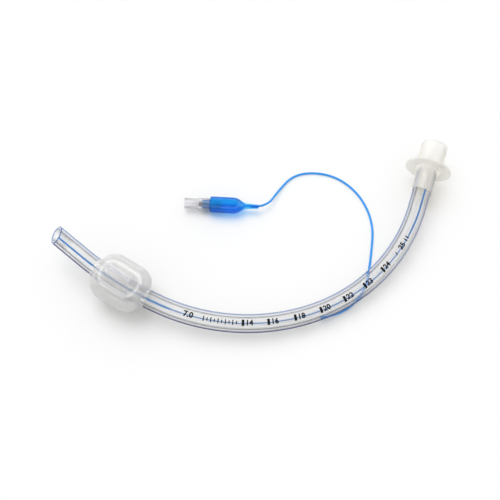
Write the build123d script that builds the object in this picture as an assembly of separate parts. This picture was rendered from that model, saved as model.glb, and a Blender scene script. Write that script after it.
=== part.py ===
from build123d import *
import math
import os

# Cuffed tracheal tube of bore 7.0 mm, lying on a table. Millimetres, +Z up. The tube is a flat arc. Its
# pieces are made in the arc's own plane, z = 0, and then laid on the cuff, the flange and the inflation line.
# Places along the tube are counted from the middle of its bevelled end. Places round it are roll angles:
# 0 inside the bend, 90 up, 180 outside the bend, 270 down.

# Tube
TUBE_OD = 10.2
TUBE_BORE = 7.0
TIP_HEADING = -39.0
TIP_STRAIGHT = 20.4
TIP_BEND_RADIUS = 182.0
TIP_BEND_ANGLE = 16.0
MIDDLE_BEND_RADIUS = 111.0
MIDDLE_BEND_ANGLE = 41.4
SEAT_BEND_RADIUS = 98.0
SEAT_BEND_ANGLE = 53.8
SEAT_STRAIGHT = 25.2  # from the last bend to the connector's flange
BEVEL_ANGLE = 52.0  # bevel to the tube's axis
BEVEL_ROLL = 118.0
TIP_ROUND = 0.5
BORE_ROUND = 0.3

# Stripe, inflation channel and notch in the tube's wall
STRIPE_ROLL = 104.0
STRIPE_WIDTH = 1.0
STRIPE_DEPTH = 0.6
CHANNEL_ROLL = 225.0
CHANNEL_BORE = 0.7
CHANNEL_START = 22.0
NOTCH_PLACE = 158.0
NOTCH_ANGLE = 14.0  # between the line and the tube's axis
PLUG_START = 4.6  # behind the notch
PLUG_LENGTH = 5.0

# Cuff: a thin barrel between two collars
CUFF_MIDDLE = 45.5
CUFF_LENGTH = 29.4
CUFF_DIA = 26.6
CUFF_FLAT = 11.0
CUFF_END_RADIUS = 4.6  # where the barrel's rounded end reaches the tube
CUFF_FILM = 0.3
COLLAR_LENGTH = 2.2
COLLAR_WALL = 0.35
CUFF_PORT_DIA = 1.4

# Connector: a 15 mm male cone, a flange, and a spigot inside a socket that hold the tube's end
CONE_END_DIA = 15.1
CONE_TAPER = 1 / 40
CONE_LENGTH = 15.0
CONE_BORE = 12.4
CONE_BORE_DEPTH = 12.0
FUNNEL_LENGTH = 4.5
CONE_CHAMFER = 0.4
FLANGE_DIA = 26.0
FLANGE_THICK = 1.2
FLANGE_ROUND = 0.45
BOSS_DIA = 14.8
BOSS_LENGTH = 2.6
SOCKET_WALL = 0.75
SOCKET_LENGTH = 14.0
SPIGOT_LENGTH = 12.0
SPIGOT_WALL = 0.7
SOCKET_FLOOR = 0.6

# Inflation line
LINE_OD = 1.3
LINE_BORE = 0.6
LINE_IN_NECK = 4.5
FIRST_RUN = 9.0
LAST_RUN = 9.0
CROSSING_PLACE = 188.5  # where the tube lies on its line
CROSSING_GAP = 0.1
SOLVE_ROUNDS = 6

# Pilot balloon and valve, along their own axis from the mouth of the syringe port
PILOT_MOUTH = (-40.1, 23.0)
PILOT_HEADING = -3.4
PILOT_LIFT = 0.05
PORT_OD = 5.6
PORT_LIP_OD = 6.0
PORT_LIP_LENGTH = 0.8
PORT_BORE = 4.3
PORT_TAPER = 0.06
PORT_DEPTH = 7.4
SKIRT_OD = 6.5
SKIRT_START = 7.6
SKIRT_END = 14.4
GROOVE_START = 10.2
BARREL_OD = 4.4
BARREL_BORE = 3.2
BARREL_END = 20.4
SEAT_WALL = 1.0
SEAT_HOLE = 2.1
BALLOON_DIA = 9.3
BALLOON_LENGTH = 15.4
BALLOON_FILM = 0.35
BALLOON_ROUND = 1.8
BALLOON_TAPER = 4.8
NECK_START_DIA = 3.2
NECK_END_DIA = 2.3
NECK_LENGTH = 7.8
STEM_DIA = 1.5
STEM_HEAD_DIA = 2.8
STEM_HEAD_START = 4.9
STEM_HEAD_LENGTH = 0.8
STEM_END = 15.0
SEAL_DIA = 2.6
SEAL_LENGTH = 1.5
CAP_DIA = 2.6
CAP_LENGTH = 2.8
CAP_FLOOR = 1.0
SPRING_DIA = 2.2
SPRING_WIRE = 0.25
SPRING_TURNS = 6
RETAINER_LENGTH = 1.4
RETAINER_HOLE = 1.4
SEAT_GAP = 0.02

TUBE_R = TUBE_OD / 2
BORE_R = TUBE_BORE / 2
CHANNEL_RING = (TUBE_R + BORE_R) / 2
SKIRT_BORE = BARREL_OD + 2 * BALLOON_FILM
SEAT_FACE = PORT_DEPTH + SEAT_WALL
SEAL_START = SEAT_FACE + SEAT_GAP
CAP_START = SEAL_START + SEAL_LENGTH
SPRING_START = CAP_START + CAP_FLOOR
RETAINER_START = BARREL_END - RETAINER_LENGTH
NECK_START = SKIRT_END + BALLOON_LENGTH + BALLOON_TAPER
NECK_END = NECK_START + NECK_LENGTH
UP = Vector(0, 0, 1)
QUARTER_TURN = 90.0
BENDS = (
    (TIP_BEND_RADIUS, TIP_BEND_ANGLE),
    (MIDDLE_BEND_RADIUS, MIDDLE_BEND_ANGLE),
    (SEAT_BEND_RADIUS, SEAT_BEND_ANGLE),
)

# The inflation line's route on the table between its first and last runs, chosen by hand
LINE_ROUTE = [
    (54.0, -38.6, 0.7),
    (61.0, -29.0, 0.7),
    (63.8, -17.5, 0.7),
    (65.9, -4.5, 0.7),
    (67.4, 8.0, 0.7),
    (65.4, 20.2, 0.7),
    (59.3, 32.5, 0.7),
    (48.4, 42.3, 0.7),
    (35.0, 45.8, 0.7),
    (22.6, 43.6, 0.7),
    (14.2, 33.6, 1.2),
]


def advance(point, heading, radius, distance):
    """The point and heading a distance further on, along a straight or a bend to the left."""
    tangent = Vector(1, 0, 0).rotate(Axis.Z, heading)
    if radius is None:
        return point + tangent * distance, heading
    turn = math.degrees(distance / radius)
    inward = UP.cross(tangent) * radius
    return point + inward - inward.rotate(Axis.Z, turn), heading + turn


def centreline_legs():
    """Each straight and bend of the centreline: start place, length, radius, start point and heading."""
    place, point, heading, legs = 0.0, Vector(0, 0, 0), TIP_HEADING, []
    bends = [(radius * math.radians(angle), radius) for radius, angle in BENDS]
    for length, radius in [(TIP_STRAIGHT, None), *bends, (SEAT_STRAIGHT, None)]:
        legs.append((place, length, radius, point, heading))
        point, heading = advance(point, heading, radius, length)
        place += length
    return legs


LEGS = centreline_legs()
FLANGE_PLACE = LEGS[-1][0] + SEAT_STRAIGHT
TUBE_END = FLANGE_PLACE - SOCKET_FLOOR


def section_plane(place):
    """Plane across the tube: local x points into the bend, local y up, z along the tube."""
    start, _, radius, point, heading = [leg for leg in LEGS if leg[0] <= max(place, 0.0)][-1]
    point, heading = advance(point, heading, radius, place - start)
    tangent = Vector(1, 0, 0).rotate(Axis.Z, heading)
    return Plane(origin=point, x_dir=UP.cross(tangent), z_dir=tangent)


def outward(place, roll):
    """Unit vector square to the tube at a roll angle."""
    plane = section_plane(place)
    return plane.x_dir * math.cos(math.radians(roll)) + plane.y_dir * math.sin(math.radians(roll))


def along(section, start, end):
    """A section carried along the centreline from one place to another."""
    pieces = []
    for begin, length, radius, _, _ in LEGS:
        low = start if begin == 0 else max(start, begin)
        high = min(end, begin + length)
        if high <= low:
            continue
        plane = section_plane(low)
        if radius is None:
            pieces.append(extrude(plane * section, high - low))
        else:
            centre = plane.origin + plane.x_dir * radius
            pieces.append(revolve(plane * section, Axis(centre, UP), math.degrees((high - low) / radius)))
    whole = pieces[0]
    for piece in pieces[1:]:
        whole = whole + piece
    return whole


def at_roll(section, ring, roll):
    """A small section moved out to a ring in the wall and round to a roll angle."""
    return Rot(0, 0, roll) * Pos(ring, 0) * section


def bevel_plane():
    """Plane of the bevelled end, with its normal out of the tube."""
    lean = math.radians(QUARTER_TURN - BEVEL_ANGLE)
    normal = outward(0, BEVEL_ROLL) * math.sin(lean) - section_plane(0).z_dir * math.cos(lean)
    return Plane(origin=(0, 0, 0), z_dir=normal)


def round_bevel_edge(body, longest, radius):
    """Rounds the outer or the inner edge of the bevelled end."""
    bevel = bevel_plane()
    flat = [e for e in body.edges() if all(abs(bevel.to_local_coords(e @ t).Z) < 1e-3 for t in (0, 0.3, 0.7))]
    flat.sort(key=lambda edge: edge.length, reverse=longest)
    return fillet(flat[:1], radius)


def make_blank():
    """The plain tube with its rounded bevel, before stripe, channel and holes."""
    lead = TUBE_R / math.tan(math.radians(BEVEL_ANGLE)) + 1
    blank = along(Circle(TUBE_R) - Circle(BORE_R), -lead, TUBE_END)
    blank = split(blank, bisect_by=bevel_plane(), keep=Keep.BOTTOM)
    blank = round_bevel_edge(blank, True, TIP_ROUND)
    return round_bevel_edge(blank, False, BORE_ROUND)


def make_stripe(blank):
    """The stripe, set flush in the tube's wall from the bevel to the connector's socket."""
    section = at_roll(Rectangle(2 * STRIPE_DEPTH, STRIPE_WIDTH), TUBE_R, STRIPE_ROLL)
    return along(section, -TUBE_R, FLANGE_PLACE - SOCKET_LENGTH) & blank


def notch_plane():
    """Plane across the inflation line where it starts in the channel, with z along its first run."""
    lean = math.radians(NOTCH_ANGLE)
    plane = section_plane(NOTCH_PLACE)
    start = plane.origin + outward(NOTCH_PLACE, CHANNEL_ROLL) * CHANNEL_RING
    run = plane.z_dir * math.cos(lean) + outward(NOTCH_PLACE, CHANNEL_ROLL) * math.sin(lean)
    return Plane(origin=start, z_dir=run)


def make_tube(blank, stripe):
    """The tube: blank less stripe, inflation channel, cuff port and notch."""
    channel = along(at_roll(Circle(CHANNEL_BORE / 2), CHANNEL_RING, CHANNEL_ROLL), CHANNEL_START, TUBE_END)
    middle = section_plane(CUFF_MIDDLE)
    port_way = outward(CUFF_MIDDLE, CHANNEL_ROLL)
    port_plane = Plane(origin=middle.origin + port_way * CHANNEL_RING, z_dir=port_way)
    port = extrude(port_plane * Circle(CUFF_PORT_DIA / 2), TUBE_R)
    notch = extrude(notch_plane() * Circle(LINE_OD / 2), 2 * FIRST_RUN)
    return blank - stripe - channel - port - notch


def make_plug():
    """The rod that closes the inflation channel behind the notch."""
    start = NOTCH_PLACE + PLUG_START
    return along(at_roll(Circle(CHANNEL_BORE / 2), CHANNEL_RING, CHANNEL_ROLL), start, start + PLUG_LENGTH)


def cuff_plane():
    """Plane across the cuff's middle, with z along the chord between its two ends."""
    ends = [section_plane(CUFF_MIDDLE + side * CUFF_LENGTH / 2).origin for side in (-1, 1)]
    return Plane(origin=(ends[0] + ends[1]) / 2, x_dir=UP, z_dir=ends[1] - ends[0])


def barrel_profile(inset):
    """Half section of the cuff's barrel about its axis, moved in by an inset."""
    radius, flat, half = CUFF_DIA / 2 - inset, CUFF_FLAT / 2, CUFF_LENGTH / 2 - inset
    end_radius = CUFF_END_RADIUS - inset
    side = Line((radius, -flat), (radius, flat))
    across, deep = radius - end_radius, half - flat
    round_a = EllipticalCenterArc((end_radius, flat), across, deep, 0, arc_size=QUARTER_TURN)
    cap_a = Line((end_radius, half), (0, half))
    axis = Line((0, half), (0, -half))
    cap_b = Line((0, -half), (end_radius, -half))
    round_b = EllipticalCenterArc((end_radius, -flat), across, deep, -QUARTER_TURN, arc_size=QUARTER_TURN)
    return make_face([side, round_a, cap_a, axis, cap_b, round_b])


def turned(profile):
    """A profile drawn with x as radius and y along the axis, turned round the z axis."""
    return revolve(Plane.XZ * profile, Axis.Z, 360)


def make_cuff():
    """The cuff: a film barrel, shut on the tube by a collar at each end."""
    barrel = turned(barrel_profile(0)) - turned(barrel_profile(CUFF_FILM))
    cuff = cuff_plane().location * barrel
    core = along(Circle(TUBE_R), CUFF_MIDDLE - CUFF_LENGTH, CUFF_MIDDLE + CUFF_LENGTH)
    for side in (-1, 1):
        edge = CUFF_MIDDLE + side * (CUFF_LENGTH / 2 - CUFF_FILM)
        start, end = sorted((edge, edge + side * COLLAR_LENGTH))
        cuff = cuff + along(Circle(TUBE_R + COLLAR_WALL), start, end)
    return cuff - core


def make_connector():
    """The one-piece connector: cone, flange, boss, socket and spigot. z = 0 is the flange's patient side."""
    cone_root = CONE_END_DIA / 2 + CONE_LENGTH * CONE_TAPER / 2
    cone_end = FLANGE_THICK + CONE_LENGTH
    socket_r = TUBE_R + SOCKET_WALL
    spigot_bore = BORE_R - SPIGOT_WALL
    funnel_start = cone_end - CONE_BORE_DEPTH - FUNNEL_LENGTH
    outside = Polyline(
        (0, -SOCKET_LENGTH),
        (socket_r, -SOCKET_LENGTH),
        (socket_r, -BOSS_LENGTH),
    )
    boss = Bezier(
        (socket_r, -BOSS_LENGTH),
        (socket_r, -BOSS_LENGTH / 2),
        (BOSS_DIA / 2, -BOSS_LENGTH),
        (BOSS_DIA / 2, 0),
    )
    flange = Polyline(
        (BOSS_DIA / 2, 0),
        (FLANGE_DIA / 2, 0),
        (FLANGE_DIA / 2, FLANGE_THICK),
        (cone_root, FLANGE_THICK),
        (CONE_END_DIA / 2, cone_end),
        (0, cone_end),
        (0, -SOCKET_LENGTH),
    )
    body = turned(make_face([outside, boss, flange]))
    bore = Polyline(
        (0, -SOCKET_LENGTH - 1),
        (spigot_bore, -SOCKET_LENGTH - 1),
        (spigot_bore, funnel_start),
        (CONE_BORE / 2, funnel_start + FUNNEL_LENGTH),
        (CONE_BORE / 2, cone_end + 1),
        (0, cone_end + 1),
        (0, -SOCKET_LENGTH - 1),
    )
    socket = Polyline(
        (BORE_R, -SOCKET_FLOOR),
        (TUBE_R, -SOCKET_FLOOR),
        (TUBE_R, -SOCKET_LENGTH - 1),
        (0, -SOCKET_LENGTH - 1),
        (0, -SPIGOT_LENGTH),
        (BORE_R, -SPIGOT_LENGTH),
        (BORE_R, -SOCKET_FLOOR),
    )
    body = body - turned(make_face([bore])) - turned(make_face([socket]))
    rims = body.edges().filter_by(GeomType.CIRCLE)
    flange_rims = [e for e in rims if abs(e.radius - FLANGE_DIA / 2) < 1e-3]
    body = fillet(flange_rims, FLANGE_ROUND)
    mouth = [e for e in body.edges().filter_by(GeomType.CIRCLE) if abs((e @ 0).Z - cone_end) < 1e-3]
    body = chamfer(mouth, CONE_CHAMFER)
    return section_plane(FLANGE_PLACE).location * body


def make_housing():
    """The valve's clear housing: syringe port, seat, barrel, and a skirt that covers the balloon's sleeve."""
    return turned(
        make_face(
            [
                Polyline(
                    (PORT_BORE / 2, 0),
                    (PORT_LIP_OD / 2, 0),
                    (PORT_LIP_OD / 2, PORT_LIP_LENGTH),
                    (PORT_OD / 2, PORT_LIP_LENGTH + (PORT_LIP_OD - PORT_OD) / 2),
                    (PORT_OD / 2, SKIRT_START),
                    (SKIRT_OD / 2, SKIRT_START),
                    (SKIRT_OD / 2, SKIRT_END),
                    (SKIRT_BORE / 2, SKIRT_END),
                    (SKIRT_BORE / 2, GROOVE_START),
                    (BARREL_OD / 2, GROOVE_START),
                    (BARREL_OD / 2, BARREL_END),
                    (BARREL_BORE / 2, BARREL_END),
                    (BARREL_BORE / 2, SEAT_FACE),
                    (SEAT_HOLE / 2, SEAT_FACE),
                    (SEAT_HOLE / 2, PORT_DEPTH),
                    (PORT_BORE / 2 - PORT_TAPER * PORT_DEPTH / 2, PORT_DEPTH),
                    (PORT_BORE / 2, 0),
                )
            ]
        )
    )


def balloon_profile(inset):
    """Half section of the pilot balloon's body and taper about its axis, moved in by an inset."""
    start, radius = SKIRT_END + inset, BALLOON_DIA / 2 - inset
    taper_start = SKIRT_END + BALLOON_LENGTH
    profile = make_face(
        [
            Polyline(
                (0, start),
                (radius, start),
                (radius, taper_start),
                (NECK_START_DIA / 2 - inset, NECK_START),
                (0, NECK_START),
                (0, start),
            )
        ]
    )
    corner = profile.vertices().sort_by(Axis.X)[-2:]
    shoulder, flank = corner.sort_by(Axis.Y)
    profile = fillet([shoulder], BALLOON_ROUND - inset)
    flank = profile.vertices().sort_by_distance((radius, taper_start))[0]
    return fillet([flank], BALLOON_ROUND)


def make_balloon():
    """The pilot balloon: sleeve on the valve's barrel, blown body, taper and a neck for the line."""
    body = turned(balloon_profile(0))
    neck = Pos(0, 0, NECK_START) * Solid.make_cone(NECK_START_DIA / 2, NECK_END_DIA / 2, NECK_LENGTH)
    sleeve = rod(SKIRT_BORE / 2, GROOVE_START, SKIRT_END)
    cavity = turned(balloon_profile(BALLOON_FILM))
    barrel = rod(BARREL_OD / 2, GROOVE_START, BARREL_END)
    line_bore = rod(LINE_OD / 2, NECK_START - BALLOON_TAPER / 2, NECK_END)
    return body + neck + sleeve - cavity - barrel - line_bore


def rod(radius, start, end):
    """A round bar on the z axis from one place to another."""
    return Pos(0, 0, start) * Cylinder(radius, end - start, align=(Align.CENTER, Align.CENTER, Align.MIN))


def make_stem():
    """The plunger that a syringe's tip pushes: a head in the port and a shaft through the seat."""
    head = rod(STEM_HEAD_DIA / 2, STEM_HEAD_START, STEM_HEAD_START + STEM_HEAD_LENGTH)
    return head + rod(STEM_DIA / 2, STEM_HEAD_START, STEM_END)


def make_seal():
    """The rubber washer that the spring holds against the seat."""
    return rod(SEAL_DIA / 2, SEAL_START, CAP_START) - rod(STEM_DIA / 2, SEAL_START, CAP_START)


def make_spring_cap():
    """The cup pressed on the shaft, which takes the spring's end."""
    cap = rod(CAP_DIA / 2, CAP_START, CAP_START + CAP_LENGTH)
    hollow = rod(SPRING_DIA / 2 + SEAT_GAP, SPRING_START, CAP_START + CAP_LENGTH)
    return cap - hollow - rod(STEM_DIA / 2, CAP_START, SPRING_START)


def make_spring():
    """The return spring between cap and retainer."""
    height = RETAINER_START - SPRING_START - SPRING_WIRE - 2 * SEAT_GAP
    coil_r = (SPRING_DIA - SPRING_WIRE) / 2
    coil = Helix(height / SPRING_TURNS, height, coil_r)
    wire = sweep(Plane(origin=coil @ 0, z_dir=coil % 0) * Circle(SPRING_WIRE / 2), path=coil)
    return Pos(0, 0, SPRING_START + SPRING_WIRE / 2 + SEAT_GAP) * wire


def make_retainer():
    """The ring pressed into the barrel's end, which backs the spring and lets air through."""
    ring = rod(BARREL_BORE / 2, RETAINER_START, BARREL_END)
    return ring - rod(RETAINER_HOLE / 2, RETAINER_START, BARREL_END)


def cuff_support(slope):
    """Height of the cuff's middle above the table, its axis at a slope: the barrel's support function."""
    long, high = CUFF_LENGTH / 2 - CUFF_FLAT / 2, CUFF_DIA / 2 - CUFF_END_RADIUS
    flat = CUFF_FLAT / 2 * math.sin(slope) + CUFF_END_RADIUS * math.cos(slope)
    return flat + math.hypot(long * math.sin(slope), high * math.cos(slope))


def rest_plane():
    """The arc's plane, laid on the cuff, the flange and the line, with the tip's side to the left."""
    cuff, flange = cuff_plane(), section_plane(FLANGE_PLACE)
    crossing = section_plane(CROSSING_PLACE)
    to_flange, to_crossing = flange.origin - cuff.origin, crossing.origin - cuff.origin
    up_x = up_y = 0.0
    for _ in range(SOLVE_ROUNDS):
        cuff_slope = abs(math.asin(cuff.z_dir.X * up_x + cuff.z_dir.Y * up_y))
        flange_slope = math.asin(flange.z_dir.X * up_x + flange.z_dir.Y * up_y)
        cuff_height = cuff_support(cuff_slope)
        rise_flange = FLANGE_DIA / 2 * math.cos(flange_slope) - cuff_height
        rise_crossing = TUBE_R + LINE_OD + CROSSING_GAP - cuff_height
        area = to_flange.X * to_crossing.Y - to_flange.Y * to_crossing.X
        up_x = (rise_flange * to_crossing.Y - rise_crossing * to_flange.Y) / area
        up_y = (to_flange.X * rise_crossing - to_crossing.X * rise_flange) / area
    level = math.sqrt(1 - up_x**2)
    x_dir = Vector(level, 0, up_x)
    skew = -up_x * up_y / level
    y_dir = Vector(skew, math.sqrt(1 - skew**2 - up_y**2), up_y)
    height = cuff_height - cuff.origin.X * up_x - cuff.origin.Y * up_y
    return Plane(origin=(0, 0, height), x_dir=x_dir, z_dir=x_dir.cross(y_dir))


def line_points(first, last):
    """The inflation line's points: from the notch, over the table, to the pilot balloon's neck."""
    start = [first.origin, first.origin + first.z_dir * FIRST_RUN]
    end = [last.origin + last.z_dir * LAST_RUN, last.origin]
    return start + [Vector(*point) for point in LINE_ROUTE] + end


def make_line(points):
    """The inflation line: straight runs joined by arcs as large as the runs allow."""
    radii = []
    for before, point, after in zip(points, points[1:], points[2:]):
        turn = math.radians((point - before).get_angle(after - point))
        shorter = min((point - before).length, (after - point).length)
        radii.append(0.45 * shorter / math.tan(turn / 2))
    print("line radii", [round(radius, 1) for radius in radii])
    path = FilletPolyline(*points, radius=radii)
    section = Plane(origin=path @ 0, z_dir=path % 0) * (Circle(LINE_OD / 2) - Circle(LINE_BORE / 2))
    line = sweep(section, path=path)
    area = math.pi * (LINE_OD**2 - LINE_BORE**2) / 4
    print("line length", round(path.length, 1), "volume", round(line.volume, 2), round(area * path.length, 2))
    return line


def build():
    """Every piece by name, in its place."""
    blank = make_blank()
    stripe = make_stripe(blank)
    flat = {
        "tube_shaft": make_tube(blank, stripe),
        "xray_stripe": stripe,
        "channel_plug": make_plug(),
        "cuff": make_cuff(),
        "connector": make_connector(),
    }
    laid = {name: rest_plane().location * piece for name, piece in flat.items()}
    boxes = [piece.bounding_box() for piece in laid.values()]
    middle_x = (min(box.min.X for box in boxes) + max(box.max.X for box in boxes)) / 2
    middle_y = (min(box.min.Y for box in boxes) + max(box.max.Y for box in boxes)) / 2
    to_middle = Pos(-middle_x, -middle_y, 0)
    pieces = {name: to_middle * piece for name, piece in laid.items()}
    heading = math.radians(PILOT_HEADING)
    pilot = Plane(
        origin=(*PILOT_MOUTH, BALLOON_DIA / 2 + PILOT_LIFT),
        x_dir=UP,
        z_dir=(math.cos(heading), math.sin(heading), 0),
    )
    on_pilot_axis = {
        "pilot_balloon": make_balloon(),
        "valve_housing": make_housing(),
        "valve_stem": make_stem(),
        "valve_seal": make_seal(),
        "spring_cap": make_spring_cap(),
        "valve_spring": make_spring(),
        "spring_retainer": make_retainer(),
    }
    pieces.update({name: pilot.location * piece for name, piece in on_pilot_axis.items()})
    placed = to_middle * rest_plane().location
    notch = Plane(placed * notch_plane().location)
    neck = Plane(origin=pilot.origin + pilot.z_dir * (NECK_END - LINE_IN_NECK), z_dir=pilot.z_dir)
    pieces["inflation_line"] = make_line(line_points(notch, neck))
    return pieces, placed


os.makedirs("parts", exist_ok=True)
PIECES, PLACED = build()
for name, piece in PIECES.items():
    export_step(piece, f"parts/{name}.step")
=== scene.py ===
"""A cuffed tracheal tube of bore 7.0 mm on a white table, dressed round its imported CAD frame.

Sizes are millimetres until a mesh is made. Places along the tube are counted from the middle of its bevelled
end. Places round it are roll angles: 0 inside the bend, 90 up, 180 outside the bend, 270 down.
"""

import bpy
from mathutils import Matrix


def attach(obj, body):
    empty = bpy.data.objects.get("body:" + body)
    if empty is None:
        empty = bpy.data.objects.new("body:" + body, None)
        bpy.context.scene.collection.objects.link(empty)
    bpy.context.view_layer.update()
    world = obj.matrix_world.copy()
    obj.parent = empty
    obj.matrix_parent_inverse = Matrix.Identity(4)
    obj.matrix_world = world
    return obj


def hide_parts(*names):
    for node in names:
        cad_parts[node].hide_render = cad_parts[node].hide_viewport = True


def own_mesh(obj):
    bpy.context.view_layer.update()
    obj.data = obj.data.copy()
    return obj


bl_info = {
    "name": "Cuffed Tracheal Tube",
    "version": (1, 0, 0),
    "blender": (4, 5, 0),
    "location": "View3D > Sidebar > Tracheal Tube",
    "description": "Builds the surfaces, prints and finishes of a cuffed tracheal tube round its CAD frame",
    "category": "Add Mesh",
}

import math

import bmesh
import bpy
import numpy as np
from bpy.props import FloatProperty, FloatVectorProperty, PointerProperty
from mathutils import Vector

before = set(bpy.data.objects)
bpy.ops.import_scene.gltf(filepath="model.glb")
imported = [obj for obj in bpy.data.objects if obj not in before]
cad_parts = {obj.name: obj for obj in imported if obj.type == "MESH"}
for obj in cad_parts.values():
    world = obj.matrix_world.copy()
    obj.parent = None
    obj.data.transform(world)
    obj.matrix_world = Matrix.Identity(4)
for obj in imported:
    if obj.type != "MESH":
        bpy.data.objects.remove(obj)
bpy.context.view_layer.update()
MM = 0.001

# The arc's plane as it lies on the table
LAID_ORIGIN = np.array((-108.5898, -4.8823, 19.3828))
LAID_X = np.array((0.9983100, 0.0, -0.0581124))
LAID_Y = np.array((0.0072835, 0.9921146, 0.1251225))
LAID_UP = np.array((0.0576542, -0.1253343, 0.9904379))

# Tube
TIP_HEADING = -39.0
# Each leg's length and bend radius
LEGS = ((20.4, None), (50.824, 182.0), (80.2049, 111.0), (92.0207, 98.0), (25.2, None))
TUBE_R = 5.1
BORE_R = 3.5
FLANGE_PLACE = 268.65
TUBE_END = FLANGE_PLACE - 0.6
SOCKET_PLACE = FLANGE_PLACE - 14.0
BEVEL_RISE = math.tan(math.radians(38.0))  # how far the bevelled end leans, per radius
BEVEL_ROLL = math.radians(118.0)
STRIPE_ROLL = 104.0
STRIPE_START = 4.1
STRIPE_OUTER_R = 5.06
STRIPE_INNER_R = 4.75
STRIPE_HALF_WIDTH = 0.47
STRIPE_THINNING = 0.2

# Cuff
CUFF_MIDDLE = 45.5
CUFF_HALF = 14.7
CUFF_FLAT = 5.5
CUFF_R = 13.3
CUFF_END_R = 4.6
COLLAR = 2.2
FILM = 0.12  # a real film's 0.05 mm made thicker, so that its two faces stay apart

# Pilot balloon and valve, along their axis from the port's mouth
PILOT_MOUTH = np.array((-40.1, 23.0, 4.7))
PILOT_HEADING = -3.4

# The inflation line's points, as in the part
LINE_POINTS = (
    (35.677, -46.777, 2.614),
    (44.253, -44.718, 0.820),
    (54.0, -38.6, 0.7),
    (61.0, -29.0, 0.7),
    (63.8, -17.5, 0.7),
    (65.9, -4.5, 0.7),
    (67.4, 8.0, 0.7),
    (65.4, 20.2, 0.7),
    (59.3, 32.5, 0.7),
    (48.4, 42.3, 0.7),
    (35.0, 45.8, 0.7),
    (22.6, 43.6, 0.7),
    (14.2, 33.6, 1.2),
    (6.717, 20.219, 4.7),
    (-2.267, 20.752, 4.7),
)
LINE_R = 0.65

# Camera, as fitted to the photograph, and the way the window's light shines
CAMERA_PLACE = (-2.66, -245.4, 489.2)
CAMERA_AIM = (-2.66, -4.68, 0.0)
CAMERA_LENS = 69.57
WINDOW_WAY = (0.26, -0.45, -1.0)
WINDOW_SPREAD = 45.0

# Depth scale: numerals and the places of their bars. Each numeral stands a step behind its bar
SCALE_ROLL = 100.0
SCALE_NUMERALS = ("14", "16", "18", "20", "22", "23", "24")
SCALE_PLACES = (115.6, 129.2, 143.7, 158.2, 172.5, 186.0, 199.7)
BAR_LENGTH = 1.4
NUMERAL_STEP = 3.35
LAST_NUMERAL_PLACE = 217.4
SIZE_NUMERAL_PLACE = 86.3
SIZE_NUMERAL_HEIGHT = 3.1

# Ticks: ten in a row, wide and narrow by turns, and three at the end as (place, width)
TICK_START = 94.6
TICK_STEP = 1.95
TICK_LENGTH = 0.55
TICK_WIDTHS = (2.8, 1.8) * 5
END_TICKS = ((211.9, 1.8), (221.6, 2.4), (223.4, 2.4))
END_TICK_LENGTH = 0.6

# Ink: its curves' body, and how far it lies off the tube
INK_BODY = 0.012
INK_LIFT = 0.02

# A clear wall's IOR is near 1, which keeps the view through it calm. At such an IOR this roughness hardly
# blurs, and with less of it the denoiser takes the wall for a mirror and leaves grain
CLEAR_ROUGHNESS = (0.285, 0.32)
PVC_IOR = 1.53


def linear(code):
    """A linear colour from an sRGB hex code."""
    channels = [int(code[i : i + 2], 16) / 255 for i in (1, 3, 5)]
    return tuple(c / 12.92 if c <= 0.04045 else ((c + 0.055) / 1.055) ** 2.4 for c in channels) + (1.0,)


def paler(colour, share):
    """A colour moved towards white by a share, as a shader's four channels."""
    return tuple(c + (1 - c) * share for c in colour) + (1.0,)


def add_node(tree, kind, settings=None, links=None):
    """Adds a node, sets its properties and sockets by name, and links its sockets to other nodes' outputs."""
    node = tree.nodes.new(kind)
    for name, value in (settings or {}).items():
        if isinstance(name, str) and hasattr(node, name) and name not in node.inputs:
            setattr(node, name, value)
        else:
            node.inputs[name].default_value = value
    for name, output in (links or {}).items():
        tree.links.new(output, node.inputs[name])
    return node


def linked(name, data):
    """An object of a mesh, curve, light or camera, linked to the scene."""
    item = bpy.data.objects.new(name, data)
    bpy.context.scene.collection.objects.link(item)
    return item


def new_material(name):
    """An empty node material and its tree."""
    material = bpy.data.materials.new(name)
    material.use_nodes = True
    material.node_tree.nodes.clear()
    return material, material.node_tree


def tube_frame(place):
    """Origin, inward and up vectors of the tube's sections at places, in the laid frame.

    Along a straight the point moves by the distance times the heading. Along a bend of radius r it moves by
    r sin(turn) forward and r (1 - cos(turn)) inward, and the heading turns by distance / r.
    """
    place = np.asarray(place, dtype=float)
    flat = np.zeros(place.shape + (2,))
    heading = np.zeros(place.shape)
    start, point, angle = 0.0, np.zeros(2), math.radians(TIP_HEADING)
    for number, (length, radius) in enumerate(LEGS):
        forward = np.array((math.cos(angle), math.sin(angle)))
        inward = np.array((-forward[1], forward[0]))
        here = place >= start if number else np.ones(place.shape, dtype=bool)
        way = place - start
        if radius is None:
            moved, turn, step = way[..., None] * forward, 0.0 * way, length * forward
        else:
            turn = way / radius
            moved = radius * (np.sin(turn)[..., None] * forward + (1 - np.cos(turn))[..., None] * inward)
            whole = length / radius
            step = radius * (math.sin(whole) * forward + (1 - math.cos(whole)) * inward)
        flat[here] = (point + moved)[here]
        heading[here] = (angle + turn)[here]
        start, point, angle = start + length, point + step, angle + (length / radius if radius else 0.0)
    origin = LAID_ORIGIN + flat[..., :1] * LAID_X + flat[..., 1:] * LAID_Y
    inward = -np.sin(heading)[..., None] * LAID_X + np.cos(heading)[..., None] * LAID_Y
    return origin, inward, np.broadcast_to(LAID_UP, origin.shape)


def tube_point(place, radius, roll):
    """Points at a place, a distance from the centreline and a roll angle in radians."""
    origin, inward, up = tube_frame(place)
    spread = np.cos(roll)[..., None] * inward + np.sin(roll)[..., None] * up
    return origin + np.asarray(radius)[..., None] * spread


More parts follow.
